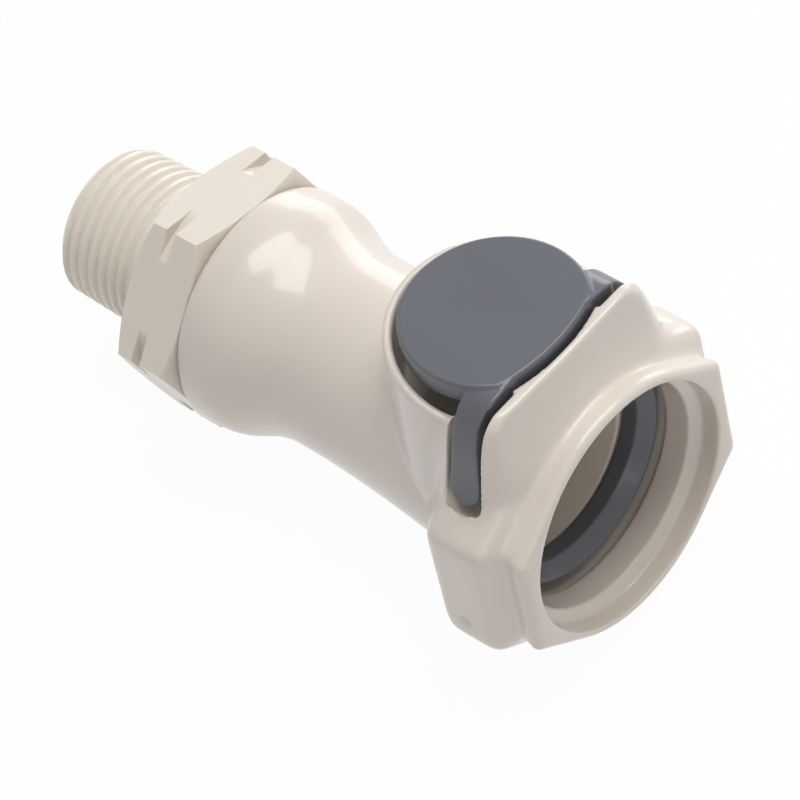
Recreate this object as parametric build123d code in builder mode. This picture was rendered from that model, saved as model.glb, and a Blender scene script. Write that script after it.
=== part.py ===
from build123d import *
import math
import os

# Push-to-connect tubing coupling, female half with thumb latch and shut-off valve.
# +X runs along the flow bore towards the mouth, +Z points at the thumb button.
# The origin is the centre of the mouth face. Millimetres.

os.makedirs("parts", exist_ok=True)

# ---- stations along the bore ----
length_total = 70.5
hex_front_x = -50.0
hex_length = 6.7
hex_rear_x = hex_front_x - hex_length
thread_end_x = -length_total

# ---- threaded adapter ----
hex_flats = 25.4
hex_turn = -8.2
hex_chamfer = 1.1
hex_groove_width = 1.2
hex_groove_r = 13.0
thread_end_r = 8.35
thread_taper = 1 / 16
thread_chamfer = 0.8
thread_pitch = 1.411
thread_depth = 0.85
thread_runout = 1.6
adapter_bore_r = 6.2
spigot_r = 10.35
spigot_clearance = 0.05

# ---- barrel and neck ----
barrel_r = 13.15
barrel_shoulder_x = -46.3
shoulder_mid_x = -42.1
shoulder_mid_r = 11.9
neck_x = -36.6
neck_r = 10.65
neck_head_x = -16.6
neck_head_r = 12.05
neck_flare = 0.11

# ---- head ----
mouth_r = 13.6
rim_r = 14.6
rim_length = 2.1
rim_half_width = 15.5
rim_half_flat = 6.4
rim_round = 0.9
groove_r = 14.1
groove_half_width = 15.0
groove_half_flat = 6.2
groove_length = 0.6
flange_front_x = -4.1
flange_rear_x = -10.4
flange_r = 15.8
flange_half_width = 17.5
flange_half_flat = 7.4
flange_corner = 1.2
flange_round = 0.7
flange_rear_corner = 2.6
shoulder_rear_x = -15.4
shoulder_half_width = 12.4
shoulder_half_flat = 2.6

# ---- button cup and front wall ----
cup_x = -13.5
cup_inner_r = 10.3
cup_wall = 0.95
cup_draft = 3.0
cup_side_z = 18.0
cup_rise = 0.19
cup_floor_z = 12.7
cup_blend = 3.0
cup_edge_round = 0.42
wall_rear_x = -5.3
wall_top = 0.75
wall_z = 20.4
wall_round = 0.2
flank_front = 6.8
flank_sections = [  # height, half width, half length: the head's flanks narrow towards the button
    (6.0, 15.7, 8.0),
    (10.5, 13.7, 9.3),
    (13.6, 12.6, 10.5),
    (17.4, 11.5, 11.5),
    (wall_z, 10.1, 12.0),
]

# ---- mating bore ----
mouth_depth = 2.3
step_length = 0.7
socket_r = 12.4
nose_bore_r = 9.7
nose_bore_end_x = -20.0
seat_thickness = 2.4
seat_r = 7.2
chamber_r = 9.0
chamber_end_x = -44.5

# ---- latch ----
plate_rear_x = -9.6
plate_thickness = 3.2
plate_gap = 0.3
latch_lift = 0.8
latch_travel = 1.2
ring_outer_r = 12.0
ring_inner_r = 10.2
ring_chamfer = 1.4
plate_neck_half = 6.0
travel_clearance = 0.5
button_top_z = 21.3
button_thickness = 2.5
button_r = 9.6
button_front_r = 21.0
button_gap = 0.45
button_round = 0.35
leg_drop = 0.35
leg_thickness = 1.7
leg_rear_x = -9.9
leg_front_x = -6.9
leg_foot_r = 1.9
leg_foot_x = -8.25
leg_foot_z = 9.4
slot_gap_side = 0.5
slot_gap_below = 1.45
slot_inner_y = 6.3
slot_outer_y = 15.1

# ---- valve ----
stem_r = 1.6
stem_fit = 0.05
stem_end_x = -45.6
head_r = 8.2
head_thickness = 2.0
nose_r = 5.6
nose_tip_x = -15.6
seal_section_r = 0.9
seal_gap = 0.1
guide_thickness = 2.0
guide_rib = 1.6
guide_hub_r = 2.8
guide_hub_length = 5.0
spring_wire_r = 0.45
spring_mean_r = 4.6
spring_turns = 6

# ---- derived ----
plate_front_x = plate_rear_x + plate_thickness
cavity_rear_x = plate_rear_x - plate_gap
cavity_front_x = plate_front_x + plate_gap
cavity_r = ring_outer_r - latch_lift + latch_travel + travel_clearance
slot_r = leg_foot_r + slot_gap_side
slot_z = leg_foot_z - slot_gap_below + slot_r
seat_rear_x = nose_bore_end_x - seat_thickness
guide_rear_x = chamber_end_x - guide_thickness
head_front_x = seat_rear_x - 2 * seal_section_r - seal_gap
head_rear_x = head_front_x - head_thickness
disc_front_x = wall_rear_x - button_gap
seal_mean_r = seat_r + 0.35


def head_outline(r, half_width, half_flat):
    """Corners of the grip pads, joined to the round rim by lines that touch it."""
    corner = math.hypot(half_width, half_flat)
    touch = math.atan2(half_flat, half_width) + math.acos(r / corner)
    ty, tz = r * math.cos(touch), r * math.sin(touch)
    right = [(ty, -tz), (half_width, -half_flat), (half_width, half_flat), (ty, tz)]
    left = [(-y, z) for y, z in reversed(right)]
    return right + left


def head_face(x, r, half_width, half_flat, corner_r):
    """One cross-section of the head, in the plane at station x."""
    with BuildSketch(Plane.YZ.offset(x)) as face:
        Polygon(*head_outline(r, half_width, half_flat), align=None)
        Circle(r)
        pads = [v for v in face.vertices() if abs(abs(v.Y) - half_width) < 0.01]
        fillet(pads, radius=corner_r)
    return face.sketch


# ---- housing ----
# cup that rises round the rear of the button and runs down into the neck
with BuildPart() as trunk:
    with BuildSketch(Plane.XZ):
        with BuildLine():
            start = (hex_front_x, barrel_r)
            Line((hex_front_x, 0), start)
            Line(start, (barrel_shoulder_x, barrel_r))
            Spline(
                (barrel_shoulder_x, barrel_r),
                (shoulder_mid_x, shoulder_mid_r),
                (neck_x, neck_r),
                tangents=[(1, 0), (1, 0)],
            )
            Spline((neck_x, neck_r), (neck_head_x, neck_head_r), tangents=[(1, 0), (1, neck_flare)])
            flare_r = neck_head_r + (flange_rear_x - neck_head_x) * neck_flare
            Line((neck_head_x, neck_head_r), (flange_rear_x, flare_r))
            Line((flange_rear_x, flare_r), (flange_rear_x, 0))
            Line((flange_rear_x, 0), (hex_front_x, 0))
        make_face()
    revolve(axis=Axis.X)
    cup_outer_r = cup_inner_r + cup_wall
    cup_top_z = cup_side_z + cup_rise * cup_outer_r
    with BuildSketch(Plane.XY.offset(cup_top_z)):
        with Locations((cup_x, 0)):
            Circle(cup_outer_r)
    extrude(amount=-cup_top_z, taper=-cup_draft)
    seam = [
        e for e in edges(Select.NEW)
        if e.bounding_box().min.X < neck_head_x - 0.1 and 0 < e.center().Z < cup_side_z - 1
    ]
    fillet(seam, radius=cup_blend)
    split(bisect_by=Plane.YZ.offset(leg_foot_x), keep=Keep.BOTTOM)

# head: rear shoulder, flange, groove and front rim
with BuildPart() as head:
    rear = head_face(shoulder_rear_x, neck_head_r, shoulder_half_width, shoulder_half_flat, 0.6)
    pad_rear = head_face(
        flange_rear_x, flange_r, flange_half_width, flange_half_flat, flange_rear_corner
    )
    pad_front = head_face(flange_front_x, flange_r, flange_half_width, flange_half_flat, flange_corner)
    waist_x = -rim_length - groove_length
    waist = head_face(waist_x, groove_r, groove_half_width, groove_half_flat, flange_corner)
    rim = head_face(-rim_length, rim_r, rim_half_width, rim_half_flat, flange_corner)
    loft(sections=[rear, pad_rear], ruled=True)
    loft(sections=[pad_rear, pad_front], ruled=True)
    loft(sections=[pad_front, waist], ruled=True)
    extrude(waist, amount=groove_length)
    extrude(rim, amount=rim_length)
    rim_edges = edges().filter_by_position(Axis.X, -0.01, 0.01)
    fillet(rim_edges, radius=rim_round)
    for ridge_x in (flange_front_x, flange_rear_x):
        ridge = edges().filter_by_position(Axis.X, ridge_x - 0.01, ridge_x + 0.01)
        fillet(ridge, radius=flange_round)

# flanks beside the latch legs and the front wall between them, sloping down to the groove
with BuildPart() as flank:
    for z, half_width, half_length in flank_sections:
        with BuildSketch(Plane.XY.offset(z)):
            with BuildLine():
                EllipticalCenterArc((leg_foot_x, 0), half_length, half_width, 90, arc_size=180)
                EllipticalCenterArc((leg_foot_x, 0), flank_front, half_width, -90, arc_size=180)
            make_face()
    loft()
    with BuildSketch(Plane.XZ) as wall_slope:
        with BuildLine():
            crest_x = wall_rear_x + wall_top
            Spline(
                (waist_x, groove_r),
                (flange_front_x + 0.4, flange_r + 0.6),
                (crest_x, wall_z),
                (crest_x - 0.2, wall_z + 4),
            )
            Polyline(
                (crest_x - 0.2, wall_z + 4),
                (leg_foot_x + 14, wall_z + 4),
                (leg_foot_x + 14, 0),
                (waist_x, 0),
                (waist_x, groove_r),
            )
        make_face()
    revolve(axis=Axis.X, mode=Mode.SUBTRACT)

with BuildPart() as body:
    add(trunk.part)
    add(head.part)
    add(flank.part)
    # the cup's rim slopes up to the rear, as high as the wall where it meets the flanks
    with BuildSketch(Plane.XZ):
        slot_rear_x = leg_foot_x - leg_foot_r - slot_gap_side
        reach = length_total
        with BuildLine():
            Polyline(
                (slot_rear_x, cup_side_z - cup_rise * (slot_rear_x - cup_x)),
                (cup_x - reach, cup_side_z + cup_rise * reach),
                (cup_x - reach, cup_side_z + reach),
                (slot_rear_x, cup_side_z + reach),
                close=True,
            )
        make_face()
    extrude(amount=reach, both=True, mode=Mode.SUBTRACT)

    # flow path from the mouth to the weld face
    with BuildSketch(Plane.XZ) as bore:
        with BuildLine():
            Polyline(
                (1, 0),
                (1, mouth_r),
                (-mouth_depth, mouth_r),
                (-mouth_depth - step_length, socket_r),
                (cavity_rear_x, socket_r),
                (cavity_rear_x, nose_bore_r),
                (nose_bore_end_x, nose_bore_r),
                (nose_bore_end_x, seat_r),
                (seat_rear_x, seat_r),
                (seat_rear_x, chamber_r),
                (chamber_end_x, chamber_r),
                (chamber_end_x, spigot_r + spigot_clearance),
                (hex_front_x - 1, spigot_r + spigot_clearance),
                (hex_front_x - 1, 0),
                close=True,
            )
        make_face()
    revolve(axis=Axis.X, mode=Mode.SUBTRACT)

    # cavity for the latch plate
    with BuildSketch(Plane.YZ.offset(cavity_rear_x)):
        Circle(cavity_r)
        with Locations((0, cavity_r / 2)):
            Rectangle(2 * (plate_neck_half + plate_gap), cavity_r + travel_clearance)
    extrude(amount=cavity_front_x - cavity_rear_x, mode=Mode.SUBTRACT)

    # button well, closed at the front by the wall
    with BuildSketch(Plane.XY.offset(cup_floor_z)) as well:
        with Locations((cup_x, 0)):
            Circle(cup_inner_r)
        with Locations((wall_rear_x - button_front_r, 0)):
            Circle(button_front_r, mode=Mode.INTERSECT)
    extrude(amount=20, mode=Mode.SUBTRACT)

    # keyhole slots for the latch legs
    for side in (1, -1):
        with BuildSketch(Plane.XZ.offset(side * slot_inner_y)):
            with Locations((leg_foot_x, slot_z)):
                Circle(slot_r)
            with Locations((leg_foot_x, slot_z + 10)):
                Rectangle(2 * slot_r, 20)
        extrude(amount=side * (slot_outer_y - slot_inner_y), mode=Mode.SUBTRACT)

    # soft moulded edges: cup rim and crest of the front wall
    def on_rim(point):
        return abs(point.Z - cup_side_z - cup_rise * (cup_x - point.X)) < 0.02

    cup_rim = [
        e for e in edges()
        if e.bounding_box().max.X < slot_rear_x + 0.01 and all(on_rim(e @ t) for t in (0, 0.5, 1))
    ]
    fillet(cup_rim, radius=cup_edge_round)
    crest = edges().filter_by_position(Axis.Z, wall_z - 0.01, wall_z + 0.01)
    fillet(crest, radius=wall_round)

body.part.label = "housing"
export_step(body.part, "parts/housing.step")

# ---- threaded adapter ----
with BuildPart() as adapter:
    with BuildSketch(Plane.YZ.offset(hex_rear_x)):
        RegularPolygon(hex_flats / 2, 6, major_radius=False, rotation=hex_turn)
    extrude(amount=hex_length)
    # rear corners turned off like a nut, and a groove round the middle of the hexagon
    hex_corner_r = hex_flats / 2 / math.cos(math.pi / 6)
    with BuildSketch(Plane.XZ):
        with BuildLine():
            Polyline(
                (hex_rear_x, hex_corner_r - 2 * hex_chamfer),
                (hex_rear_x + hex_chamfer, hex_corner_r + 0.2),
                (hex_rear_x, hex_corner_r + 0.2),
                close=True,
            )
        make_face()
        with Locations(((hex_rear_x + hex_front_x) / 2, hex_groove_r + 2)):
            Rectangle(hex_groove_width, 4)
    revolve(axis=Axis.X, mode=Mode.SUBTRACT)
    # tapered stub with the pipe thread's turns as rings, and the spigot inside the housing
    stub = hex_rear_x - thread_end_x
    groove_count = int((stub - thread_chamfer - thread_runout) / thread_pitch)
    crest_half = thread_pitch / 8
    ridges = []
    for n in range(groove_count):
        crest_x = thread_end_x + thread_chamfer + n * thread_pitch
        root_x = crest_x + thread_pitch / 2
        crest_r = thread_end_r + (crest_x - thread_end_x) * thread_taper / 2
        ridges += [
            (crest_x + crest_half, crest_r),
            (root_x, crest_r - thread_depth),
            (crest_x + thread_pitch - crest_half, crest_r + thread_pitch * thread_taper / 2),
        ]
    with BuildSketch(Plane.XZ):
        with BuildLine():
            Polyline(
                (thread_end_x, 0),
                (thread_end_x, thread_end_r - thread_chamfer),
                (thread_end_x + thread_chamfer, thread_end_r + thread_chamfer * thread_taper / 2),
                *ridges,
                (hex_rear_x, thread_end_r + stub * thread_taper / 2),
                (hex_rear_x, spigot_r),
                (guide_rear_x, spigot_r),
                (guide_rear_x, 0),
                close=True,
            )
        make_face()
    revolve(axis=Axis.X)
    with BuildSketch(Plane.YZ.offset(thread_end_x)):
        Circle(adapter_bore_r)
    extrude(amount=guide_rear_x - thread_end_x, mode=Mode.SUBTRACT)
adapter.part.label = "threaded_adapter"
export_step(adapter.part, "parts/threaded_adapter.step")

# ---- valve guide: a ring with three ribs that carry the stem bush ----
with BuildPart() as guide:
    with BuildSketch(Plane.YZ.offset(guide_rear_x)):
        Circle(spigot_r)
        Circle(chamber_r - 1.2, mode=Mode.SUBTRACT)
        Circle(guide_hub_r)
        with PolarLocations(0, 3):
            with Locations((chamber_r / 2, 0)):
                Rectangle(chamber_r, guide_rib)
    extrude(amount=guide_thickness)
    with BuildSketch(Plane.YZ.offset(guide_rear_x)):
        Circle(guide_hub_r)
    extrude(amount=guide_hub_length)
    with BuildSketch(Plane.YZ.offset(guide_rear_x)):
        Circle(stem_r + stem_fit)
    extrude(amount=guide_hub_length, mode=Mode.SUBTRACT)
guide.part.label = "valve_guide"
export_step(guide.part, "parts/valve_guide.step")

# ---- valve poppet ----
with BuildPart() as poppet:
    with BuildSketch(Plane.XZ):
        with BuildLine():
            Polyline(
                (stem_end_x, 0),
                (stem_end_x, stem_r),
                (head_rear_x - 1.5, stem_r),
                (head_rear_x, stem_r + 1.2),
                (head_rear_x, head_r),
                (head_front_x, head_r),
                (head_front_x, seal_mean_r - seal_section_r),
                (seat_rear_x, seal_mean_r - seal_section_r),
                (seat_rear_x + 0.8, nose_r),
                (nose_tip_x - 3, nose_r - 0.4),
                (nose_tip_x, nose_r - 2.2),
                (nose_tip_x, 0),
                close=True,
            )
        make_face()
    revolve(axis=Axis.X)
poppet.part.label = "valve_poppet"
export_step(poppet.part, "parts/valve_poppet.step")

# ---- poppet seal ----
with BuildPart() as seal:
    with BuildSketch(Plane.XZ):
        with Locations((head_front_x + seal_section_r, seal_mean_r)):
            Circle(seal_section_r)
    revolve(axis=Axis.X)
seal.part.label = "poppet_seal"
export_step(seal.part, "parts/poppet_seal.step")

# ---- valve spring ----
spring_front_x = head_rear_x - spring_wire_r
spring_rear_x = chamber_end_x + spring_wire_r
spring_height = spring_front_x - spring_rear_x
with BuildPart() as spring:
    with BuildLine() as coil:
        Helix(
            pitch=spring_height / spring_turns,
            height=spring_height,
            radius=spring_mean_r,
            center=(spring_rear_x, 0, 0),
            direction=(1, 0, 0),
        )
    with BuildSketch(Plane(coil.line @ 0, z_dir=coil.line % 0)):
        RegularPolygon(spring_wire_r, 8)
    sweep(path=coil.line)
spring.part.label = "valve_spring"
export_step(spring.part, "parts/valve_spring.step")

# ---- latch ----
leg_top_z = button_top_z - leg_drop
leg_outer = [(7.4, leg_top_z), (9.4, leg_top_z - 0.6), (11.6, 17.4), (12.65, 13.6), (13.8, leg_foot_z)]
leg_inner = [(7.4, leg_top_z - leg_thickness), (9.9, 17.2), (10.95, 13.4), (12.1, leg_foot_z)]
with BuildPart() as leg_form:
    with BuildSketch(Plane.YZ.offset(leg_foot_x - 4)) as leg_side:
        with BuildLine():
            outer = Spline(*leg_outer)
            inner = Spline(*leg_inner)
            Line(outer @ 0, inner @ 0)
            Line(outer @ 1, inner @ 1)
        make_face()
    extrude(amount=8)
    with BuildSketch(Plane.XZ) as leg_front:
        with Locations((leg_foot_x, leg_foot_z + leg_foot_r)):
            Circle(leg_foot_r)
        with BuildLine():
            Polyline(
                (leg_rear_x, button_top_z + 1),
                (leg_rear_x, leg_foot_z + 2 * leg_foot_r + 0.6),
                (leg_foot_x - leg_foot_r, leg_foot_z + leg_foot_r),
                (leg_foot_x + leg_foot_r, leg_foot_z + leg_foot_r),
                (leg_front_x + 0.4, leg_foot_z + 2 * leg_foot_r + 1.6),
                (leg_front_x, button_top_z - 3),
                (leg_front_x + 0.4, button_top_z + 1),
                close=True,
            )
        make_face()
    extrude(amount=30, both=True, mode=Mode.INTERSECT)

with BuildPart() as latch:
    # button disc with its front edge cut to a shallow curve
    with BuildSketch(Plane.XY.offset(button_top_z - button_thickness)):
        with Locations((cup_x, 0)):
            Circle(button_r)
        with Locations((disc_front_x - button_front_r, 0)):
            Circle(button_front_r, mode=Mode.INTERSECT)
    extrude(amount=button_thickness)
    fillet(edges().group_by(Axis.Z)[-1], radius=button_round)
    # plate that crosses the bore, with the round locking window and its lead-in
    with BuildSketch(Plane.YZ.offset(plate_rear_x)):
        with Locations((0, latch_lift)):
            Circle(ring_outer_r)
        with Locations((0, button_top_z / 2)):
            Rectangle(2 * plate_neck_half, button_top_z - button_thickness / 2)
        with Locations((0, latch_lift)):
            Circle(ring_inner_r, mode=Mode.SUBTRACT)
    extrude(amount=plate_thickness)
    window = edges().filter_by(GeomType.CIRCLE).filter_by_position(
        Axis.X, plate_front_x - 0.01, plate_front_x + 0.01
    )
    chamfer(window.sort_by(SortBy.RADIUS)[0], length=ring_chamfer)
    add(leg_form.part)
    add(leg_form.part.mirror(Plane.XZ))
latch.part.label = "latch"
export_step(latch.part, "parts/latch.step")
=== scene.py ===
import math

import bpy
from mathutils import Matrix, Vector


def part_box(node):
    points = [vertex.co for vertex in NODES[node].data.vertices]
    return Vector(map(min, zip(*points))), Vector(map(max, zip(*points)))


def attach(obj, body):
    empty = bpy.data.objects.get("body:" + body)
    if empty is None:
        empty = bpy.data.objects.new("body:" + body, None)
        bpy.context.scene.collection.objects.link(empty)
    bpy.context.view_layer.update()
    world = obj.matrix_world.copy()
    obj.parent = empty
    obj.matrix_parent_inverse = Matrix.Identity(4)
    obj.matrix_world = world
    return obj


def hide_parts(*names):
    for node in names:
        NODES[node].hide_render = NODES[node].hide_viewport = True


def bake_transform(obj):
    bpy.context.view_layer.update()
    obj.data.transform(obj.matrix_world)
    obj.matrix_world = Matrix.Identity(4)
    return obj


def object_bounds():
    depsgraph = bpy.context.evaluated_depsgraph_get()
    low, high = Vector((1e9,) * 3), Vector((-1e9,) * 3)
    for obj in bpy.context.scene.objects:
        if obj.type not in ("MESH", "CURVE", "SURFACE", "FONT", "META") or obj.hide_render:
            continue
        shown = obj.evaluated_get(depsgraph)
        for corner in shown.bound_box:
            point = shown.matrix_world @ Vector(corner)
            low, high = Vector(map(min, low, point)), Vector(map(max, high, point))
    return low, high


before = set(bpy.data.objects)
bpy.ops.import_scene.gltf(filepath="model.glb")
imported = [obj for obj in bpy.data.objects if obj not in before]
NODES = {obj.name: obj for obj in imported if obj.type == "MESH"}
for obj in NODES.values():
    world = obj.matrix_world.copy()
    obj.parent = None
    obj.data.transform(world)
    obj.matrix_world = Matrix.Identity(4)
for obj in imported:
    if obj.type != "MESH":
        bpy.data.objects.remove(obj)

bl_info = {
    "name": "Quick Disconnect Coupling",
    "version": (1, 0, 0),
    "blender": (4, 5, 0),
    "location": "3D View > Sidebar > Coupling",
    "description": "Dresses a plastic quick disconnect coupling: "
                   "threaded adapter, housing, latch, valve and stage",
    "category": "Object",
}

MM = 0.001
CAD_LOW, CAD_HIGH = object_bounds()
ADAPTER_LOW, ADAPTER_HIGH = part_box("threaded_adapter")
COARSE, MEDIUM, FINE = 64, 96, 160   # segments round a body
MOST_TRIANGLES = 190000              # a moulded skin is thinned to this many


# ---- sizes and colours that a user would change ----

class CouplingThreadSettings(bpy.types.PropertyGroup):
    """Sizes of the pipe thread end"""

    pitch: bpy.props.FloatProperty(
        name="Pitch", description="Distance from one crest to the next",
        default=1.411 * MM, unit="LENGTH", precision=6)
    depth: bpy.props.FloatProperty(
        name="Depth", description="Height of a crest over its root",
        default=0.56 * MM, unit="LENGTH", precision=6)
    end_radius: bpy.props.FloatProperty(
        name="End radius", description="Crest radius at the small end",
        default=8.35 * MM, unit="LENGTH", precision=6)
    taper: bpy.props.FloatProperty(
        name="Taper", description="Growth of the diameter for each unit of length",
        default=1 / 16, precision=4)
    chamfer: bpy.props.FloatProperty(
        name="End chamfer", description="Length of the chamfer at the small end",
        default=0.8 * MM, unit="LENGTH", precision=6)
    bore_radius: bpy.props.FloatProperty(
        name="Bore radius", description="Radius of the flow bore",
        default=6.2 * MM, unit="LENGTH", precision=6)
    steps: bpy.props.IntProperty(
        name="Steps", description="Segments round the thread", default=144, min=24)


class CouplingHexSettings(bpy.types.PropertyGroup):
    """Sizes of the hexagon"""

    flats: bpy.props.FloatProperty(
        name="Across flats", description="Distance between two flats",
        default=25.4 * MM, unit="LENGTH", precision=6)
    front_x: bpy.props.FloatProperty(
        name="Front face", description="Place of the front face along the bore",
        default=-50.0 * MM, unit="LENGTH", precision=6)
    length: bpy.props.FloatProperty(
        name="Length", description="Length of the hexagon along the bore",
        default=6.7 * MM, unit="LENGTH", precision=6)
    turn: bpy.props.FloatProperty(
        name="Turn", description="How far the hexagon is turned from the button",
        default=math.radians(-8.2), subtype="ANGLE")
    chamfer: bpy.props.FloatProperty(
        name="Rear chamfer", description="Length of the turned chamfer at the rear",
        default=1.1 * MM, unit="LENGTH", precision=6)
    front_crown: bpy.props.FloatProperty(
        name="Front crown", description="How far the flats reach past the front corners",
        default=0.9 * MM, unit="LENGTH", precision=6)
    groove_width: bpy.props.FloatProperty(
        name="Groove width", description="Width of the groove round the middle",
        default=1.2 * MM, unit="LENGTH", precision=6)
    groove_radius: bpy.props.FloatProperty(
        name="Groove radius", description="Radius of the groove's floor",
        default=13.22 * MM, unit="LENGTH", precision=6)
    edge_round: bpy.props.FloatProperty(
        name="Edge rounding", description="Rounding of the moulded edges",
        default=0.28 * MM, unit="LENGTH", precision=6)


class CouplingColourSettings(bpy.types.PropertyGroup):
    """Colours of the moulded plastics"""

    housing: bpy.props.FloatVectorProperty(
        name="Housing", description="Colour of the housing plastic",
        subtype="COLOR", size=3, min=0, max=1, default=(0.735, 0.660, 0.590))
    adapter: bpy.props.FloatVectorProperty(
        name="Adapter", description="Colour of the threaded adapter plastic",
        subtype="COLOR", size=3, min=0, max=1, default=(0.775, 0.712, 0.630))
    latch: bpy.props.FloatVectorProperty(
        name="Latch", description="Colour of the latch plastic",
        subtype="COLOR", size=3, min=0, max=1, default=(0.106, 0.113, 0.133))
    # painted shade: darker than the real valve plastic, which is the housing's colour, to
    # stand in for the shade deep in the bore
    valve: bpy.props.FloatVectorProperty(
        name="Valve", description="Colour of the valve plastic",
        subtype="COLOR", size=3, min=0, max=1, default=(0.33, 0.285, 0.245))
    floor: bpy.props.FloatVectorProperty(
        name="Floor", description="Colour of the floor",
        subtype="COLOR", size=3, min=0, max=1, default=(0.82, 0.82, 0.82))


# ---- small helpers shared by the operators ----

def deselect_all():
    """Leaves no object selected or active"""
    if bpy.context.object and bpy.context.object.mode != "OBJECT":
        bpy.ops.object.mode_set(mode="OBJECT")
    bpy.ops.object.select_all(action="DESELECT")
    bpy.context.view_layer.objects.active = None


def activate(piece):
    """Makes one piece the only selected and active object"""
    deselect_all()
    piece.select_set(True)
    bpy.context.view_layer.objects.active = piece


def apply_place(piece):
    """Writes a piece's place, turn and scale into its mesh"""
    activate(piece)
    bpy.ops.object.transform_apply(location=True, rotation=True, scale=True)


def apply_modifier(piece, kind, name, **values):
    """Adds one modifier with its values and applies it"""
    activate(piece)
    modifier = piece.modifiers.new(name, kind)
    for key, value in values.items():
        setattr(modifier, key, value)
    bpy.ops.object.modifier_apply(modifier=modifier.name)


def boolean(piece, tool, operation, name):
    """Cuts a piece with a tool body, or joins them, and removes the tool"""
    apply_modifier(piece, "BOOLEAN", name, operation=operation, solver="EXACT", object=tool)
    bpy.data.objects.remove(tool)


def in_metres(table):
    """The rows of a table in millimetres, as metres"""
    return [tuple(value * MM for value in row) for row in table]


def edited(name, mesh):
    """A new object for a mesh, with all of it selected in edit mode"""
    deselect_all()
    body = bpy.data.objects.new(name, mesh)
    bpy.context.scene.collection.objects.link(body)
    activate(body)
    bpy.ops.object.mode_set(mode="EDIT")
    bpy.ops.mesh.select_all(action="SELECT")
    return body


def merge_points():
    """Merges the points of the mesh in edit mode that lie on each other"""
    bpy.ops.mesh.select_all(action="SELECT")
    bpy.ops.mesh.remove_doubles(threshold=0.001 * MM)


def face_outwards():
    """Turns the selected faces outwards and leaves edit mode"""
    bpy.ops.mesh.normals_make_consistent(inside=False)
    bpy.ops.object.mode_set(mode="OBJECT")


def turned(name, outline, steps):
    """A closed body turned about the bore from an outline of (x, radius) points"""
    points = [(x, 0, r) for x, r in outline]
    loop = [(i, i + 1) for i in range(len(points) - 1)]
    if outline[0][1] > 0:
        loop.append((len(points) - 1, 0))
    mesh = bpy.data.meshes.new(name)
    mesh.from_pydata(points, loop, [])
    body = edited(name, mesh)
    bpy.ops.mesh.spin(steps=steps, angle=2 * math.pi, center=(0, 0, 0), axis=(1, 0, 0))
    merge_points()
    face_outwards()
    return body


def merged_copy(node, name):
    """A copy of a node with its loose triangles merged into one skin"""
    piece = edited(name, NODES[node].data.copy())
    merge_points()
    face_outwards()
    return piece


def join_to(piece, others):
    """Joins other bodies to a piece"""
    activate(piece)
    for other in others:
        other.select_set(True)
    bpy.ops.object.join()


def even_skin(piece, voxel):
    """One even, closed skin round all the bodies of a piece"""
    apply_modifier(piece, "REMESH", "even skin", mode="VOXEL", voxel_size=voxel,
                   adaptivity=0.0, use_smooth_shade=True)


def wear(piece, passes, where=None):
    """Wears sharp edges to a moulded radius, evenly or by a weight for each point"""
    values = {"factor": 0.5, "iterations": passes}
    if where:
        group = piece.vertex_groups.new(name="wear")
        for vertex in piece.data.vertices:
            group.add([vertex.index], where(vertex.co / MM), "REPLACE")
        values["vertex_group"] = "wear"
    apply_modifier(piece, "SMOOTH", "worn edges", **values)
    if where:
        piece.vertex_groups.clear()


def fewer_faces(piece, triangles):
    """Thins a skin to a number of triangles and shades it smooth"""
    count = sum(len(face.vertices) - 2 for face in piece.data.polygons)
    if count > triangles:
        apply_modifier(piece, "DECIMATE", "fewer faces", ratio=triangles / count)
    activate(piece)
    bpy.ops.object.shade_smooth()


def ramp(value, start, end):
    """0 at start, 1 at end, and straight between"""
    return min(1.0, max(0.0, (value - start) / (end - start)))


def column(name, x, y, radius, low, high, steps=128):
    """An upright cylinder between two heights, in millimetres"""
    deselect_all()
    bpy.ops.mesh.primitive_cylinder_add(
        vertices=steps, radius=radius * MM, depth=(high - low) * MM,
        location=(x * MM, y * MM, (low + high) / 2 * MM))
    body = bpy.context.object
    body.name = name
    apply_place(body)
    return body


def block(name, low, high):
    """A block between two corners, in millimetres"""
    deselect_all()
    bpy.ops.mesh.primitive_cube_add(
        size=1, location=[(a + b) / 2 * MM for a, b in zip(low, high)],
        scale=[(b - a) * MM for a, b in zip(low, high)])
    body = bpy.context.object
    body.name = name
    apply_place(body)
    return body


def stacked(name, rings):
    """A closed body through rings of equally many points, in millimetres"""
    count = len(rings[0])
    points = in_metres([point for ring in rings for point in ring])
    faces = [tuple(reversed(range(count))), tuple(range(len(points) - count, len(points)))]
    for level in range(len(rings) - 1):
        for i in range(count):
            j = (i + 1) % count
            low, high = level * count, (level + 1) * count
            faces.append((low + i, low + j, high + j, high + i))
    mesh = bpy.data.meshes.new(name)
    mesh.from_pydata(points, [], faces)
    body = edited(name, mesh)
    face_outwards()
    return body


def smooth(piece, degrees):
    """Smooth shading, with creases kept above an angle"""
    activate(piece)
    bpy.ops.object.shade_smooth_by_angle(angle=math.radians(degrees))


def finish_with(piece, material):
    """Gives a piece one material in its first slot"""
    if piece.data.materials:
        for index in range(len(piece.data.materials)):
            piece.data.materials[index] = material
    else:
        piece.data.materials.append(material)


# ---- materials ----

def seen_rays(tree):
    """1 for camera, glossy and transmission rays, and 0 for the rays that light the object"""
    path = tree.nodes.new("ShaderNodeLightPath")
    direct = tree.nodes.new("ShaderNodeMath")
    direct.operation = "MAXIMUM"
    through = tree.nodes.new("ShaderNodeMath")
    through.operation = "MAXIMUM"
    tree.links.new(path.outputs["Is Camera Ray"], direct.inputs[0])
    tree.links.new(path.outputs["Is Glossy Ray"], direct.inputs[1])
    tree.links.new(direct.outputs["Value"], through.inputs[0])
    tree.links.new(path.outputs["Is Transmission Ray"], through.inputs[1])
    return through.outputs["Value"]


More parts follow.
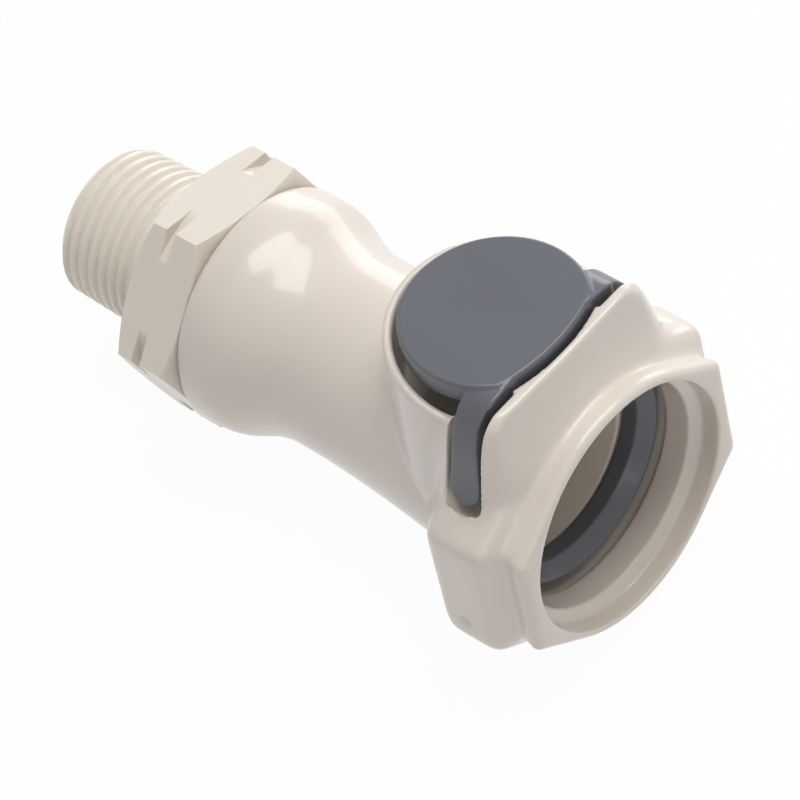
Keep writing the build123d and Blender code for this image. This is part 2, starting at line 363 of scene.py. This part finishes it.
def moulded_plastic(name, colour, roughness, coat, grain, mottle, flow_scale, subsurface=0.0):
    """Injection-moulded plastic: faint flow mottling, a fine surface grain and a satin skin"""
    material = bpy.data.materials.new(name)
    material.use_nodes = True
    tree = material.node_tree
    shader = tree.nodes["Principled BSDF"]
    place = tree.nodes.new("ShaderNodeTexCoord")

    flow_map = tree.nodes.new("ShaderNodeMapping")
    flow_map.inputs["Scale"].default_value = (0.35, 1.0, 1.0)
    flow = tree.nodes.new("ShaderNodeTexNoise")
    flow.inputs["Scale"].default_value = flow_scale
    flow.inputs["Detail"].default_value = 1.0
    flow.inputs["Roughness"].default_value = 0.4
    tint = tree.nodes.new("ShaderNodeValToRGB")
    dark = [c * (1.0 - mottle) for c in colour]
    light = [min(1.0, c * (1.0 + mottle)) for c in colour]
    tint.color_ramp.elements[0].position = 0.25
    tint.color_ramp.elements[0].color = (*dark, 1)
    tint.color_ramp.elements[1].position = 0.75
    tint.color_ramp.elements[1].color = (*light, 1)

    skin = tree.nodes.new("ShaderNodeTexNoise")
    skin.inputs["Scale"].default_value = 150.0
    skin.inputs["Detail"].default_value = 2.0
    gloss = tree.nodes.new("ShaderNodeMapRange")
    gloss.inputs["From Min"].default_value = 0.25
    gloss.inputs["From Max"].default_value = 0.75
    gloss.inputs["To Min"].default_value = roughness * 0.94
    gloss.inputs["To Max"].default_value = roughness * 1.06

    fine = tree.nodes.new("ShaderNodeTexNoise")
    fine.inputs["Scale"].default_value = 3800.0
    fine.inputs["Detail"].default_value = 2.0
    bump = tree.nodes.new("ShaderNodeBump")
    bump.inputs["Strength"].default_value = grain
    bump.inputs["Distance"].default_value = 0.008 * MM

    link = tree.links.new
    link(place.outputs["Object"], flow_map.inputs["Vector"])
    link(flow_map.outputs["Vector"], flow.inputs["Vector"])
    link(flow.outputs["Fac"], tint.inputs["Fac"])
    link(tint.outputs["Color"], shader.inputs["Base Color"])
    link(place.outputs["Object"], skin.inputs["Vector"])
    link(skin.outputs["Fac"], gloss.inputs["Value"])
    link(gloss.outputs["Result"], shader.inputs["Roughness"])
    link(place.outputs["Object"], fine.inputs["Vector"])
    link(fine.outputs["Fac"], bump.inputs["Height"])
    link(bump.outputs["Normal"], shader.inputs["Normal"])
    shader.inputs["IOR"].default_value = 1.48
    shader.inputs["Coat Weight"].default_value = coat
    shader.inputs["Coat Roughness"].default_value = 0.10
    shader.inputs["Subsurface Weight"].default_value = subsurface
    shader.inputs["Subsurface Scale"].default_value = 1.2 * MM
    shader.inputs["Subsurface Radius"].default_value = (1.0, 0.7, 0.5)
    return material


def drawn_wire(name):
    """Stainless spring wire with fine drawing marks"""
    material = bpy.data.materials.new(name)
    material.use_nodes = True
    tree = material.node_tree
    shader = tree.nodes["Principled BSDF"]
    shader.inputs["Base Color"].default_value = (0.62, 0.61, 0.59, 1)
    shader.inputs["Metallic"].default_value = 1.0
    place = tree.nodes.new("ShaderNodeTexCoord")
    marks = tree.nodes.new("ShaderNodeTexNoise")
    marks.inputs["Scale"].default_value = 1500.0
    rough = tree.nodes.new("ShaderNodeMapRange")
    rough.inputs["To Min"].default_value = 0.18
    rough.inputs["To Max"].default_value = 0.42
    tree.links.new(place.outputs["Object"], marks.inputs["Vector"])
    tree.links.new(marks.outputs["Fac"], rough.inputs["Value"])
    tree.links.new(rough.outputs["Result"], shader.inputs["Roughness"])
    return material


def seal_rubber(name):
    """Black moulded rubber with a faint bloom"""
    material = bpy.data.materials.new(name)
    material.use_nodes = True
    tree = material.node_tree
    shader = tree.nodes["Principled BSDF"]
    place = tree.nodes.new("ShaderNodeTexCoord")
    bloom = tree.nodes.new("ShaderNodeTexNoise")
    bloom.inputs["Scale"].default_value = 600.0
    tint = tree.nodes.new("ShaderNodeValToRGB")
    tint.color_ramp.elements[0].color = (0.012, 0.012, 0.013, 1)
    tint.color_ramp.elements[1].color = (0.040, 0.040, 0.042, 1)
    tree.links.new(place.outputs["Object"], bloom.inputs["Vector"])
    tree.links.new(bloom.outputs["Fac"], tint.inputs["Fac"])
    tree.links.new(tint.outputs["Color"], shader.inputs["Base Color"])
    shader.inputs["Roughness"].default_value = 0.55
    return material


# ---- operators, one for each piece or group of pieces ----

# threaded adapter, in millimetres where nothing else is said
REAR_DROP = 3.72         # fall of the rear cone's radius, 1 mm behind the hexagon,
REAR_DROP_CHAMFER = 1.1  # at this rear chamfer
PASSAGE_RADIUS = 7.4     # hole through the hexagon that the stub's wall fills
SPIGOT_RADIUS = 10.3     # spigot inside the housing
BORE_CHAMFER = 0.5       # at the mouth of the stub's bore
STUB_OVERLAP = 0.6       # how far the stub's skin runs into the hexagon
STUB_RINGS = 190         # rings of points along the stub
FADE_START = 0.8         # the thread is gone this far behind the hexagon,
FADE_LENGTH = 4.0        # and full over this length more
FLANK_START, FLANK_SPAN = 0.05, 0.62     # a thread flank, in shares of half a pitch
EASED, STRAIGHT = 0.35, 0.65             # shares of a flank's eased and straight rise
NEAR = 1e-6              # points this close count as on the stub's skin, in metres


class COUPLING_OT_threaded_adapter(bpy.types.Operator):
    """Models the hexagon and the tapered pipe thread as one moulding"""

    bl_idname = "coupling.threaded_adapter"
    bl_label = "Threaded Adapter"

    def execute(self, context):
        scene = context.scene
        adapter = self.hexagon(scene.coupling_hex)
        join_to(adapter, [self.thread(scene.coupling_thread, scene.coupling_hex)])
        adapter.name = "adapter_moulding"
        smooth(adapter, 32)
        apply_modifier(adapter, "WEIGHTED_NORMAL", "even flats", keep_sharp=True)
        finish_with(adapter, moulded_plastic(
            "adapter_plastic", scene.coupling_colours.adapter, roughness=0.42, coat=0.30,
            grain=0.05, mottle=0.008, flow_scale=90, subsurface=0.25))
        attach(adapter, "body")
        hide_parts("threaded_adapter")
        return {"FINISHED"}

    def hexagon(self, size):
        """Hexagon with its corners turned off at both ends and a groove round its middle"""
        rear = size.front_x - size.length
        middle = (size.front_x + rear) / 2
        corner = size.flats / 2 / math.cos(math.pi / 6)
        deselect_all()
        bpy.ops.mesh.primitive_cylinder_add(
            vertices=6, radius=corner, depth=size.length + size.front_crown,
            location=(middle + size.front_crown / 2, 0, 0), rotation=(0, math.pi / 2, 0))
        hexagon = bpy.context.object
        hexagon.name = "hexagon"
        apply_place(hexagon)
        first = hexagon.data.vertices[0].co
        there = math.atan2(first.z, first.y)
        hexagon.rotation_euler = (size.turn - there, 0, 0)
        apply_place(hexagon)

        blank = turned("hexagon_blank", [
            (rear - 1 * MM, 0.4 * MM),
            (rear - 1 * MM, corner - REAR_DROP * size.chamfer / REAR_DROP_CHAMFER),
            (rear + size.chamfer, corner + 0.2 * MM),
            (size.front_x, corner + 0.2 * MM),
            (size.front_x + size.front_crown, size.flats / 2),
            (size.front_x + size.front_crown + 0.2 * MM, 0.4 * MM),
        ], MEDIUM)
        boolean(hexagon, blank, "INTERSECT", "turned corners")
        ring = turned("groove_ring", [
            (middle - size.groove_width / 2, size.groove_radius),
            (middle - size.groove_width / 2, corner + 1 * MM),
            (middle + size.groove_width / 2, corner + 1 * MM),
            (middle + size.groove_width / 2, size.groove_radius),
        ], MEDIUM)
        boolean(hexagon, ring, "DIFFERENCE", "groove")
        passage = turned("hexagon_passage", [
            (rear - 2 * MM, 0.2 * MM),
            (rear - 2 * MM, PASSAGE_RADIUS * MM),
            (size.front_x + 2 * MM, PASSAGE_RADIUS * MM),
            (size.front_x + 2 * MM, 0.2 * MM),
        ], COARSE)
        boolean(hexagon, passage, "DIFFERENCE", "flow passage")
        apply_modifier(hexagon, "BEVEL", "moulded edges", width=size.edge_round, segments=3,
                       limit_method="ANGLE", angle_limit=math.radians(24),
                       use_clamp_overlap=True, harden_normals=False)
        return hexagon

    def thread(self, size, hexagon):
        """Tapered stub, chamfered at its end, with a helical thread that fades out
        before the hexagon"""
        end = ADAPTER_LOW.x
        root = hexagon.front_x - hexagon.length
        inside = root + STUB_OVERLAP * MM
        outline = [(end + (inside - end) * i / STUB_RINGS, size.end_radius)
                   for i in range(STUB_RINGS + 1)]
        spigot_end = ADAPTER_HIGH.x
        outline += [(inside, SPIGOT_RADIUS * MM), (spigot_end, SPIGOT_RADIUS * MM),
                    (spigot_end, size.bore_radius),
                    (end + BORE_CHAMFER * MM, size.bore_radius),
                    (end, size.bore_radius + BORE_CHAMFER * MM)]
        stub = turned("thread_stub", outline, size.steps)
        for vertex in stub.data.vertices:
            x, radius = vertex.co.x, math.hypot(vertex.co.y, vertex.co.z)
            on_skin = size.end_radius - NEAR <= radius <= size.end_radius + NEAR
            if not on_skin or x > inside + NEAR:
                continue
            turn = math.atan2(vertex.co.z, vertex.co.y) / (2 * math.pi)
            phase = (x / size.pitch - turn) % 1.0
            slope = abs(phase - 0.5) * 2
            tooth = min(1.0, max(0.0, (slope - FLANK_START) / FLANK_SPAN))
            tooth = tooth * tooth * (3 - 2 * tooth) * EASED + tooth * STRAIGHT
            fade = min(1.0, max(0.0, (root - x - FADE_START * MM) / (FADE_LENGTH * MM)))
            crest = size.end_radius + (x - end) * size.taper / 2
            wanted = crest - size.depth * (1 - tooth) * fade
            chamfer = size.end_radius - size.chamfer + (x - end)
            wanted = min(wanted, max(chamfer, size.end_radius - size.chamfer))
            scale = wanted / radius
            vertex.co.y *= scale
            vertex.co.z *= scale
        return stub


# housing, in millimetres
OUTER_VOXEL = 0.25       # grain of the skin that the outside is worn on
FINAL_VOXEL = 0.17       # grain of the skin after the openings are cut
OUTER_WEAR = 90          # passes over the outside, weighted by softness
FINAL_WEAR = 7           # passes over the cut edges
LEG_X = -8.25            # middle of the latch legs along the bore
SLOT_HALF = 2.4          # half a slot's width, and the radius of its foot
SLOT_Z = 10.35           # centre of the foot of a slot's inner stretch
SLOT_STEP = 0.95         # the outer stretch's foot is this much higher
SLOT_STRETCHES = (  # from y, to y, centre of the foot
    (6.3, 14.3, SLOT_Z), (14.1, 16.3, SLOT_Z + SLOT_STEP),
)
SLOT_TOP = 30.0          # above everything
CUP_X = -13.5            # centre of the button and its cup
WALL_ARC = 21.0          # radius of the front wall's rear side, seen from above,
WALL_X = -5.3            # and its place on the middle line
WALL_SPAN = (10.0, 32.0) # low and high of the body that cuts it
MOST_WEAR_AT_ENDS = 0.18 # at the ends of the front wall
LEAST_WEAR = 0.035       # everywhere
GATE_PLACE = (-7.6, -18.62, -4.2)
GATE_RADIUS = 1.4
THROAT = ((-9.9, -6.3, -0.2), (-6.1, 6.3, 13.15))    # two corners
WELL = (10.3, 12.7, 30.0)                            # radius, low, high
WELL_FILLING = (10.4, 8.0, 15.5)                     # radius, low, high
FLANK_AHEAD, FLANK_BEHIND = (6.8, 2.2), (5.3, 2.0)   # reach from the legs, and fullness
FLANK_REAR = 2.35        # the flanks are cut flat this far behind the legs
FLANK_LEVELS = 34
BORE_FILLING = (  # x, radius
    (-49.6, 0), (-49.6, 10.45), (-44.4, 10.45), (-44.4, 9.9), (-9.95, 9.9),
    (-9.95, 13.0), (-3.0, 13.0), (-2.4, 13.8), (-0.4, 13.8), (-0.4, 0),
)
BORE = (  # x, radius
    (1, 0), (1, 13.6), (-2.3, 13.6), (-3.0, 12.4), (-9.9, 12.4), (-9.9, 9.7),
    (-20.0, 9.7), (-20.0, 7.2), (-22.4, 7.2), (-22.4, 9.0), (-44.5, 9.0),
    (-44.5, 10.4), (-51, 10.4), (-51, 0),
)
CAVITY = ((-9.9, 0), (-9.9, 12.9), (-6.1, 12.9), (-6.1, 0))    # x, radius
HEEL = (  # x, radius of the step that takes the hexagon's crowned front
    (-50.2, 10.0), (-49.08, 10.0), (-49.08, 12.75), (-48.8, 13.0), (-48.3, 13.2),
    (-48.3, 14.5), (-50.2, 14.5),
)
FLANK = (  # height, half width at the legs
    (4.0, 15.6), (8.0, 14.9), (9.8, 14.6), (11.5, 14.3), (13.4, 13.9), (15.3, 13.4),
    (17.0, 12.9), (18.5, 12.3), (19.4, 11.7), (20.0, 10.9), (20.4, 9.9),
)
SLOPE = (  # distance from the bore's axis, x of the front wall there
    (14.0, -2.7), (15.2, -3.15), (16.4, -3.7), (18.4, -4.2), (20.4, -4.55), (24.0, -4.75),
)


def along(table, value):
    """Reads a table of (key, value) rows between its rows"""
    for (k0, v0), (k1, v1) in zip(table, table[1:]):
        if value <= k1:
            return v0 + (v1 - v0) * ramp(value, k0, k1)
    return table[-1][1]


class COUPLING_OT_housing(bpy.types.Operator):
    """Models the moulded housing: a soft outer form with the openings cut into it"""

    bl_idname = "coupling.housing"
    bl_label = "Housing"

    def execute(self, context):
        housing = merged_copy("housing", "housing_moulding")
        join_to(housing, self.fillings() + [self.flanks()])
        even_skin(housing, OUTER_VOXEL * MM)
        wear(housing, OUTER_WEAR, self.softness)
        for opening in self.openings():
            boolean(housing, opening, "DIFFERENCE", "opening")
        even_skin(housing, FINAL_VOXEL * MM)
        wear(housing, FINAL_WEAR)
        fewer_faces(housing, MOST_TRIANGLES)
        finish_with(housing, moulded_plastic(
            "housing_plastic", context.scene.coupling_colours.housing, roughness=0.42,
            coat=0.55, grain=0.05, mottle=0.008, flow_scale=90, subsurface=0.08))
        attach(housing, "body")
        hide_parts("housing")
        return {"FINISHED"}

    def fillings(self):
        """Bodies that close the bore and the button well while the outside is shaped"""
        return [turned("bore_filling", in_metres(BORE_FILLING), MEDIUM),
                column("well_filling", CUP_X, 0, *WELL_FILLING)]

    def flanks(self):
        """Full flanks round the latch legs, and the front wall between them"""
        rings = []
        for level in range(FLANK_LEVELS + 1):
            z = FLANK[0][0] + (FLANK[-1][0] - FLANK[0][0]) * level / FLANK_LEVELS
            half = along(FLANK, z)
            ring = []
            for step in range(MEDIUM):
                angle = 2 * math.pi * step / MEDIUM
                c, q = math.cos(angle), math.sin(angle)
                length, power = FLANK_AHEAD if c > 0 else FLANK_BEHIND
                x = LEG_X + length * math.copysign(abs(c) ** (2 / power), c)
                y = half * math.copysign(abs(q) ** (2 / power), q)
                front = along(SLOPE, math.hypot(y, z))
                ring.append((min(max(x, LEG_X - FLANK_REAR), front), y, z))
            rings.append(ring)
        return stacked("flanks", rings)

    def softness(self, point):
        """How far the edges at a point are worn: much on the head, little on the cup's rim"""
        x, y, z = point
        # the head: ahead of the cup, short of the mouth's face, outside the bore
        head = ramp(x, -18.0, -16.0) * ramp(x, -1.0, -1.6) * ramp(math.hypot(y, z), 13.4, 13.9)
        below = ramp(z, 17.0, 14.5)
        # the ends of the front wall: high up, far from the middle, ahead of the legs
        ends = (MOST_WEAR_AT_ENDS * ramp(z, 14.5, 17.0) * ramp(abs(y), 7.5, 9.0)
                * ramp(x, -7.5, -6.5))
        return max(LEAST_WEAR, head * below, ends)

    def openings(self):
        """The flow bore, the plate's cavity, the button well and the slots"""
        well = column("well", CUP_X, 0, *WELL)
        boolean(well, column("wall_arc", WALL_X - WALL_ARC, 0, WALL_ARC, *WALL_SPAN, 256),
                "INTERSECT", "wall side")
        cuts = [turned("bore", in_metres(BORE), FINE),
                turned("cavity", in_metres(CAVITY), FINE),
                block("throat", *THROAT), well,
                turned("barrel_heel", in_metres(HEEL), FINE)]
        for side in (1, -1):
            for inner, outer, foot_z in SLOT_STRETCHES:
                cuts += self.slot(side, inner, outer, foot_z)
        cuts.append(self.gate_mark())
        return cuts

    def slot(self, side, inner, outer, foot_z):
        """One stretch of a slot across the head's side: an upright part on a round foot"""
        low, high = sorted((inner * side, outer * side))
        upright = block("slot", (LEG_X - SLOT_HALF, low, foot_z),
                        (LEG_X + SLOT_HALF, high, SLOT_TOP))
        deselect_all()
        bpy.ops.mesh.primitive_cylinder_add(
            vertices=MEDIUM, radius=SLOT_HALF * MM, depth=(outer - inner) * MM,
            location=(LEG_X * MM, (low + high) / 2 * MM, foot_z * MM),
            rotation=(math.pi / 2, 0, 0))
        foot = bpy.context.object
        apply_place(foot)
        return [upright, foot]

    def gate_mark(self):
        """The small round dimple that the mould's gate leaves on one side of the head"""
        deselect_all()
        bpy.ops.mesh.primitive_uv_sphere_add(
            segments=48, ring_count=24, radius=GATE_RADIUS * MM,
            location=[c * MM for c in GATE_PLACE])
        mark = bpy.context.object
        apply_place(mark)
        return mark


# latch, in millimetres
LATCH_VOXEL = 0.14
LATCH_WEAR = 6           # passes
FLARE_REAR, FLARE_FRONT, FLARE_FLOOR = -8.4, -6.5, 18.9
FLARE = ((4.8, 21.2), (6.4, 21.15), (8.0, 20.85), (9.2, 20.4))   # y, height of the top


class COUPLING_OT_latch(bpy.types.Operator):
    """Models the thumb latch, with legs that flare into the button"""

    bl_idname = "coupling.latch"
    bl_label = "Thumb Latch"

    def execute(self, context):
        latch = merged_copy("latch", "latch_moulding")
        join_to(latch, [self.flare(1), self.flare(-1)])
        even_skin(latch, LATCH_VOXEL * MM)
        wear(latch, LATCH_WEAR)
        fewer_faces(latch, MOST_TRIANGLES)
        finish_with(latch, moulded_plastic(
            "latch_plastic", context.scene.coupling_colours.latch, roughness=0.42,
            coat=0.35, grain=0.06, mottle=0.02, flow_scale=180))
        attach(latch, "latch_body")
        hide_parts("latch")
        return {"FINISHED"}

    def flare(self, side):
        """Web that joins the button's front edge to the front of a leg"""
        rings = []
        for y, top in FLARE:
            rings.append([
                (FLARE_REAR, side * y, FLARE_FLOOR), (FLARE_FRONT, side * y, FLARE_FLOOR),
                (FLARE_FRONT, side * y, top), (FLARE_REAR, side * y, top)])
        return stacked("flare", rings)


# valve spring, in millimetres
SPRING_REAR, SPRING_FRONT = -44.05, -26.75
SPRING_TURNS = 6
COIL_RADIUS = 4.6        # to the middle of the wire
WIRE_RADIUS = 0.45


class COUPLING_OT_valve(bpy.types.Operator):
    """Finishes the shut-off valve inside the housing"""

    bl_idname = "coupling.valve"
    bl_label = "Shut-off Valve"

    def execute(self, context):
        # the guide and poppet get the darkened valve colour: painted shade for the deep bore,
        # over plastic that is really the housing's colour
        colour = context.scene.coupling_colours.valve
        plastic = moulded_plastic("valve_plastic", colour, roughness=0.40, coat=0.10,
                                  grain=0.06, mottle=0.015, flow_scale=200)
        finish_with(NODES["valve_guide"], plastic)
        finish_with(NODES["valve_poppet"], plastic)
        finish_with(NODES["poppet_seal"], seal_rubber("poppet_seal_rubber"))
        self.spring()
        return {"FINISHED"}

    def spring(self):
        """Round wire coil between the guide and the poppet"""
        rear, front = SPRING_REAR * MM, SPRING_FRONT * MM
        deselect_all()
        bpy.ops.mesh.primitive_circle_add(
            vertices=14, radius=WIRE_RADIUS * MM, location=(rear, 0, COIL_RADIUS * MM),
            rotation=(math.pi / 2, 0, 0))
        coil = bpy.context.object
        coil.name = "spring_coil"
        apply_place(coil)
        apply_modifier(coil, "SCREW", "turns", axis="X", angle=2 * math.pi,
                       iterations=SPRING_TURNS, screw_offset=(front - rear) / SPRING_TURNS,
                       steps=56, render_steps=56)
        bpy.ops.object.mode_set(mode="EDIT")
        merge_points()
        bpy.ops.mesh.fill_holes(sides=0)
        bpy.ops.mesh.select_all(action="SELECT")
        face_outwards()
        smooth(coil, 50)
        finish_with(coil, drawn_wire("spring_wire"))
        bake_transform(coil)
        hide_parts("valve_spring")


# stage: places and sizes of the lights in metres, of the camera in millimetres
SOFTBOXES = (  # name, place, target, size, watts
    ("key_softbox", (0.025, 0.14, 0.58), (-0.035, 0, 0), (0.30, 0.50), 2.5),
    ("side_softbox", (0.42, -0.34, 0.24), (-0.02, 0, 0), (0.30, 0.30), 0.3),
    ("back_softbox", (-0.28, 0.54, 0.12), (-0.035, 0, 0), (0.5, 0.26), 1.2),
)
FLOOR_WHITE = 0.96       # share of plain white that the camera sees on the floor
SURROUND = 0.31          # strength of the light from all sides
CAMERA_PLACE = (227.90, -202.73, 375.33)
CAMERA_AIM = (-28.47, -2.12, 0)
CAMERA_ROLL = -14.71     # degrees
CAMERA_LENS = 223.07


class COUPLING_OT_stage(bpy.types.Operator):
    """Makes the floor, the lights and the camera"""

    bl_idname = "coupling.stage"
    bl_label = "Stage"

    def execute(self, context):
        scene = context.scene
        scene.view_settings.view_transform = "Standard"
        self.floor(scene)
        self.world(scene)
        for row in SOFTBOXES:
            self.softbox(scene, *row)
        self.camera(scene)
        return {"FINISHED"}

    def floor(self, scene):
        """Pale floor that reads white to the camera and keeps the shadow"""
        deselect_all()
        bpy.ops.mesh.primitive_plane_add(size=6.0, location=(0, 0, CAD_LOW.z))
        plane = bpy.context.object
        plane.name = "floor"
        apply_place(plane)
        material = bpy.data.materials.new("pale_floor")
        material.use_nodes = True
        tree = material.node_tree
        shader = tree.nodes["Principled BSDF"]
        shader.inputs["Base Color"].default_value = (*scene.coupling_colours.floor, 1)
        shader.inputs["Roughness"].default_value = 0.9
        shader.inputs["Specular IOR Level"].default_value = 0.1
        white = tree.nodes.new("ShaderNodeEmission")
        white.inputs["Strength"].default_value = 1.0
        share = tree.nodes.new("ShaderNodeMath")
        share.operation = "MULTIPLY"
        share.inputs[1].default_value = FLOOR_WHITE
        mix = tree.nodes.new("ShaderNodeMixShader")
        link = tree.links.new
        link(seen_rays(tree), share.inputs[0])
        link(share.outputs["Value"], mix.inputs["Fac"])
        link(shader.outputs["BSDF"], mix.inputs[1])
        link(white.outputs["Emission"], mix.inputs[2])
        link(mix.outputs["Shader"], tree.nodes["Material Output"].inputs["Surface"])
        finish_with(plane, material)

    def world(self, scene):
        """Even studio surround"""
        world = bpy.data.worlds.new("studio")
        scene.world = world
        world.use_nodes = True
        tree = world.node_tree
        surround = tree.nodes["Background"]
        surround.inputs["Color"].default_value = (1, 1, 1, 1)
        surround.inputs["Strength"].default_value = SURROUND
        white = tree.nodes.new("ShaderNodeBackground")
        white.inputs["Strength"].default_value = 1.0
        mix = tree.nodes.new("ShaderNodeMixShader")
        tree.links.new(seen_rays(tree), mix.inputs["Fac"])
        tree.links.new(surround.outputs["Background"], mix.inputs[1])
        tree.links.new(white.outputs["Background"], mix.inputs[2])
        tree.links.new(mix.outputs["Shader"], tree.nodes["World Output"].inputs["Surface"])

    def softbox(self, scene, name, place, target, size, power):
        """A rectangular area light that faces its target"""
        light = bpy.data.lights.new(name, "AREA")
        light.shape = "RECTANGLE"
        light.size, light.size_y = size
        light.energy = power
        lamp = bpy.data.objects.new(name, light)
        scene.collection.objects.link(lamp)
        lamp.location = place
        aim = Vector(target) - Vector(place)
        lamp.rotation_mode = "QUATERNION"
        lamp.rotation_quaternion = aim.to_track_quat("-Z", "Y")

    def camera(self, scene):
        """Long lens, above and in front of the mouth, on the left of the bore"""
        data = bpy.data.cameras.new("camera")
        data.lens = CAMERA_LENS
        data.sensor_width = 36.0
        data.clip_start, data.clip_end = 0.02, 20.0
        camera = bpy.data.objects.new("camera", data)
        scene.collection.objects.link(camera)
        camera.location = [c * MM for c in CAMERA_PLACE]
        aim = Vector([c * MM for c in CAMERA_AIM]) - camera.location
        camera.rotation_mode = "QUATERNION"
        level = aim.to_track_quat("-Z", "Y")
        roll = Matrix.Rotation(math.radians(CAMERA_ROLL), 3, "Z").to_quaternion()
        camera.rotation_quaternion = level @ roll
        scene.camera = camera


class COUPLING_PT_panel(bpy.types.Panel):
    """Lists the coupling's pieces and their sizes"""

    bl_idname = "COUPLING_PT_panel"
    bl_label = "Quick Disconnect Coupling"
    bl_space_type = "VIEW_3D"
    bl_region_type = "UI"
    bl_category = "Coupling"

    def draw(self, context):
        layout = self.layout
        for operator in OPERATORS:
            layout.operator(operator.bl_idname)
        for group in (context.scene.coupling_thread, context.scene.coupling_hex,
                      context.scene.coupling_colours):
            box = layout.box()
            for key in group.__class__.__annotations__:
                box.prop(group, key)


OPERATORS = (
    COUPLING_OT_threaded_adapter,
    COUPLING_OT_housing,
    COUPLING_OT_latch,
    COUPLING_OT_valve,
    COUPLING_OT_stage,
)
GROUPS = (CouplingThreadSettings, CouplingHexSettings, CouplingColourSettings)


def register():
    for group in GROUPS:
        bpy.utils.register_class(group)
    for operator in OPERATORS:
        bpy.utils.register_class(operator)
    bpy.utils.register_class(COUPLING_PT_panel)
    bpy.types.Scene.coupling_thread = bpy.props.PointerProperty(type=CouplingThreadSettings)
    bpy.types.Scene.coupling_hex = bpy.props.PointerProperty(type=CouplingHexSettings)
    bpy.types.Scene.coupling_colours = bpy.props.PointerProperty(type=CouplingColourSettings)


def unregister():
    del bpy.types.Scene.coupling_colours
    del bpy.types.Scene.coupling_hex
    del bpy.types.Scene.coupling_thread
    bpy.utils.unregister_class(COUPLING_PT_panel)
    for operator in reversed(OPERATORS):
        bpy.utils.unregister_class(operator)
    for group in reversed(GROUPS):
        bpy.utils.unregister_class(group)


def main():
    register()
    bpy.ops.coupling.threaded_adapter()
    bpy.ops.coupling.housing()
    bpy.ops.coupling.latch()
    bpy.ops.coupling.valve()
    bpy.ops.coupling.stage()


if __name__ == "__main__":
    main()
